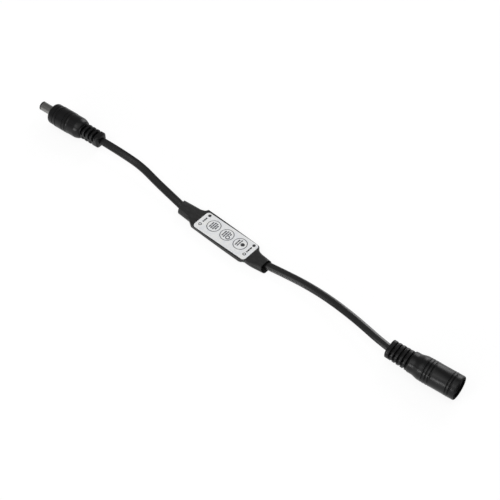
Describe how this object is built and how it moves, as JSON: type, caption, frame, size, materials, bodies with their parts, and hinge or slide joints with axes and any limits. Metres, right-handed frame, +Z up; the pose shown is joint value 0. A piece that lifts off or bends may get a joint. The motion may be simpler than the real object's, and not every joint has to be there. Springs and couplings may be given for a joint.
{
  "type": "in-line led strip dimmer",
  "caption": "In-line dimmer for LED strip light: small board with round keys in a shrunk sleeve, fed by a barrel plug on a flat twin cord and ending in a barrel socket.",
  "frame": {"origin": "on the supporting surface, under the middle of the sleeve's flat box", "axes": "+X along the box from the plug's end to the socket's end, +Y across the box, +Z up through the label and the keys"},
  "size_m": [0.3028, 0.0166, 0.0134],
  "materials": {
    "shrink_sleeve": "satin",
    "label_film": "satin",
    "key_film": "satin",
    "board_laminate": "satin",
    "switch_body": "matte",
    "switch_plunger": "matte",
    "spring_steel": "satin",
    "chip_epoxy": "matte",
    "ceramic": "matte",
    "tinned_copper": "bright",
    "cord_vinyl": "satin",
    "grip_vinyl": "satin",
    "nickel_plate": "polished",
    "contact_insulator": "matte"
  },
  "bodies": {
    "controller": {"heat_shrink_sleeve": "shrink_sleeve", "legend_label": "label_film", "circuit_board": "board_laminate", "switch_base_1": "switch_body", "switch_base_2": "switch_body", "switch_base_3": "switch_body", "switch_feet_1": "tinned_copper", "switch_feet_2": "tinned_copper", "switch_feet_3": "tinned_copper", "switch_cover_1": "spring_steel", "switch_cover_2": "spring_steel", "switch_cover_3": "spring_steel", "snap_dome_1": "spring_steel", "snap_dome_2": "spring_steel", "snap_dome_3": "spring_steel", "control_chip": "chip_epoxy", "control_chip_leads": "tinned_copper", "power_transistor": "chip_epoxy", "power_transistor_leads": "tinned_copper", "voltage_regulator": "chip_epoxy", "chip_resistors": "chip_epoxy", "chip_capacitors": "ceramic", "input_conductors": "tinned_copper", "output_conductors": "tinned_copper", "input_solder": "tinned_copper", "output_solder": "tinned_copper", "input_cord": "cord_vinyl", "output_cord": "cord_vinyl", "plug_grip": "grip_vinyl", "plug_barrel": "nickel_plate", "plug_insulator": "contact_insulator", "plug_contact": "nickel_plate", "socket_grip": "grip_vinyl", "socket_insert": "contact_insulator", "socket_pin": "nickel_plate", "socket_leaf": "nickel_plate"},
    "first_key": {"key_1": "key_film", "switch_plunger_1": "switch_plunger"},
    "second_key": {"key_2": "key_film", "switch_plunger_2": "switch_plunger"},
    "third_key": {"key_3": "key_film", "switch_plunger_3": "switch_plunger"}
  },
  "joints": [
    {"name": "key_1_press", "type": "slide", "parent": "controller", "child": "first_key", "axis": [0, 0, -1], "range_m": [0, 0.0002], "stiffness_N_per_m": 7200, "deforming": ["snap_dome_1"]},
    {"name": "key_2_press", "type": "slide", "parent": "controller", "child": "second_key", "axis": [0, 0, -1], "range_m": [0, 0.0002], "stiffness_N_per_m": 7200, "deforming": ["snap_dome_2"]},
    {"name": "key_3_press", "type": "slide", "parent": "controller", "child": "third_key", "axis": [0, 0, -1], "range_m": [0, 0.0002], "stiffness_N_per_m": 7200, "deforming": ["snap_dome_3"]}
  ]
}
